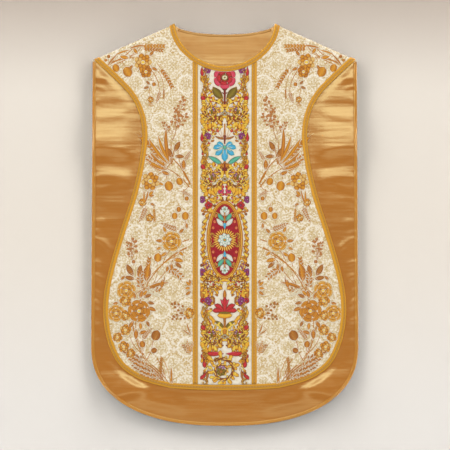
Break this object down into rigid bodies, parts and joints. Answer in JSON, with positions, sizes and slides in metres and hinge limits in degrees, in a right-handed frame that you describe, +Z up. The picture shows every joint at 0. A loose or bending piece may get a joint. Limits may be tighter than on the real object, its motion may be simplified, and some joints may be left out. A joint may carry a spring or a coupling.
{
  "type": "fiddleback chasuble",
  "caption": "Fiddleback chasuble laid flat: wide satin-lined back under a narrow waisted brocade front with a central embroidered column, an oval medallion and woven braid trim",
  "frame": {"origin": "on the surface that the garment lies on, under the middle of its outline", "axes": "+Z up out of the surface, +Y along the garment from the hem to the neck, +X across it to the right as seen from above with the neck away from the viewer"},
  "size_m": [0.734, 1.1055, 0.013],
  "materials": {
    "back_brocade": "ivory silk brocade",
    "lining_satin": "old gold satin",
    "edge_binding_satin": "old gold satin, topstitched",
    "neck_binding_satin": "old gold satin, topstitched",
    "front_brocade": "ivory silk brocade with gold flowers",
    "column_embroidery": "coloured silk embroidery on ivory",
    "column_braid_left": "woven gold galloon",
    "column_braid_right": "woven gold galloon",
    "border_braid": "woven gold galloon",
    "neck_braid": "woven gold galloon",
    "medallion_embroidery": "crimson and gold padded embroidery"
  },
  "bodies": {
    "root": {"back_panel": "back_brocade", "back_lining": "lining_satin", "back_edge_binding": "edge_binding_satin", "back_neck_binding": "neck_binding_satin", "front_panel": "front_brocade", "column": "column_embroidery", "column_braid_left": "column_braid_left", "column_braid_right": "column_braid_right", "border_braid": "border_braid", "neck_braid": "neck_braid", "medallion": "medallion_embroidery"}
  },
  "joints": []
}
